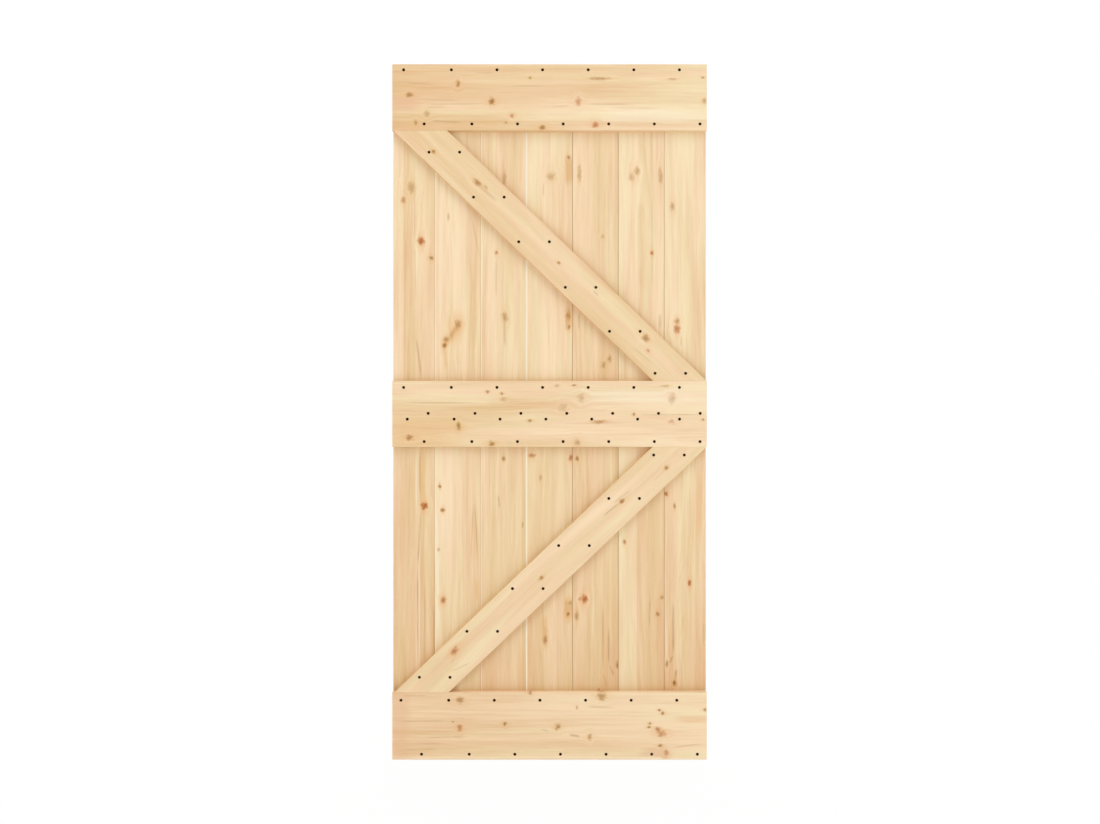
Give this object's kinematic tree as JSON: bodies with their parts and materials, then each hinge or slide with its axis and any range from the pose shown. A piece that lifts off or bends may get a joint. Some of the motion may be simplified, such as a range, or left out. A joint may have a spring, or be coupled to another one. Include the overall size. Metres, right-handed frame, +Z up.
{
  "type": "sliding door",
  "caption": "Sliding door leaf of upright tongued boards, screwed to level ledges and slanting braces across its front.",
  "frame": {"origin": "middle of the top ledge's front face, where a sliding door's hangers are bolted", "axes": "+Z up the leaf, -Y out of its front face, +X to the right seen from the front"},
  "size_m": [0.95, 0.036, 2.1],
  "materials": {
    "board_timber": "satin",
    "ledge_timber": "satin",
    "screw_black": "satin"
  },
  "bodies": {
    "root": {"upper_board_1": "board_timber", "upper_board_2": "board_timber", "upper_board_3": "board_timber", "upper_board_4": "board_timber", "upper_board_5": "board_timber", "upper_board_6": "board_timber", "upper_board_7": "board_timber", "lower_board_1": "board_timber", "lower_board_2": "board_timber", "lower_board_3": "board_timber", "lower_board_4": "board_timber", "lower_board_5": "board_timber", "lower_board_6": "board_timber", "lower_board_7": "board_timber", "top_ledge": "ledge_timber", "middle_ledge": "ledge_timber", "bottom_ledge": "ledge_timber", "upper_brace": "ledge_timber", "lower_brace": "ledge_timber", "top_ledge_screws": "screw_black", "middle_ledge_screws": "screw_black", "bottom_ledge_screws": "screw_black", "upper_brace_screws": "screw_black", "lower_brace_screws": "screw_black"}
  },
  "joints": []
}
